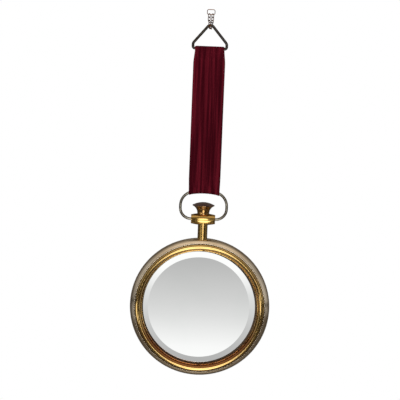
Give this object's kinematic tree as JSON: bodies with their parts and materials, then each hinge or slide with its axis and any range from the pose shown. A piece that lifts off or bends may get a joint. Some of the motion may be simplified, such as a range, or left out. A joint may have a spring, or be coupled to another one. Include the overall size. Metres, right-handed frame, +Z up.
{
  "type": "hanging wall mirror",
  "caption": "Round bevelled wall mirror in a brass pocket-watch case with bow and crown, hung by a velvet strap and a wire triangle on a doubled chain.",
  "frame": {"origin": "where the hanging link bears on its hook, inside the link's top", "axes": "+Z up along the hanging line, mirror facing -Y, wall on the +Y side"},
  "size_m": [0.31, 0.0492, 0.8095],
  "materials": {
    "chain": "copper-toned brass wire",
    "dark_bronze": "dark bronzed brass",
    "aged_brass": "aged brass, softly polished",
    "polished_brass": "polished brass",
    "satin_brass": "satin brass",
    "steel": "zinc-plated steel",
    "velvet": "burgundy velvet pile",
    "lining": "woven tape",
    "thread": "twisted thread",
    "mirror": "silvered bevelled plate glass",
    "board": "black-painted hardboard",
    "adhesive": "foam tape pads",
    "foam": "firm sponge rubber",
    "rubber": "black rubber"
  },
  "bodies": {
    "hook_link": {"hanging_link": "chain"},
    "upper_links": {"upper_link_left": "chain", "upper_link_right": "chain"},
    "lower_links": {"lower_link_left": "chain", "lower_link_right": "chain"},
    "saddle_links": {"saddle_link_1": "chain", "saddle_link_2": "chain", "saddle_link_3": "chain", "saddle_link_4": "chain", "saddle_link_5": "chain", "saddle_link_6": "chain", "saddle_link_7": "chain"},
    "triangle": {"triangle_ring": "dark_bronze"},
    "strap": {"strap_velvet": "velvet", "strap_lining": "lining", "strap_stitching": "thread"},
    "bow": {"bow": "aged_brass"},
    "case": {"barrel": "aged_brass", "stem": "aged_brass", "stem_rod": "steel", "stem_washer": "steel", "stem_nut": "steel", "crown_body": "polished_brass", "crown_cap": "dark_bronze", "case_body": "satin_brass", "bezel": "polished_brass", "mirror_glass": "mirror", "adhesive_pads": "adhesive", "backing_board": "board", "foam_blocks": "foam", "cover_lugs": "satin_brass", "back_cover": "satin_brass", "cover_screws": "steel", "wall_bumpers": "rubber"}
  },
  "joints": [
    {"name": "upper_links_swing", "type": "hinge", "parent": "hook_link", "child": "upper_links", "pos_m": [0, 0, -0.00975], "axis": [1, 0, 0], "range_deg": [-20, 20]},
    {"name": "lower_links_swing", "type": "hinge", "parent": "upper_links", "child": "lower_links", "pos_m": [0, 0, -0.0158], "axis": [1, 0, 0], "range_deg": [-25, 25]},
    {"name": "saddle_swing", "type": "hinge", "parent": "lower_links", "child": "saddle_links", "pos_m": [0, 0, -0.0226], "axis": [1, 0, 0], "range_deg": [-12, 12]},
    {"name": "triangle_tilt", "type": "hinge", "parent": "saddle_links", "child": "triangle", "pos_m": [0, 0, -0.04092], "axis": [0, 1, 0], "range_deg": [-12, 12]},
    {"name": "strap_swing", "type": "hinge", "parent": "triangle", "child": "strap", "pos_m": [0, 0, -0.08292], "axis": [1, 0, 0], "range_deg": [-85, 85]},
    {"name": "bow_swing", "type": "hinge", "parent": "strap", "child": "bow", "pos_m": [0, 0, -0.3959], "axis": [1, 0, 0], "range_deg": [-12, 12]},
    {"name": "case_swing", "type": "hinge", "parent": "bow", "child": "case", "pos_m": [0, 0, -0.45618], "axis": [1, 0, 0], "range_deg": [-100, 100]}
  ]
}
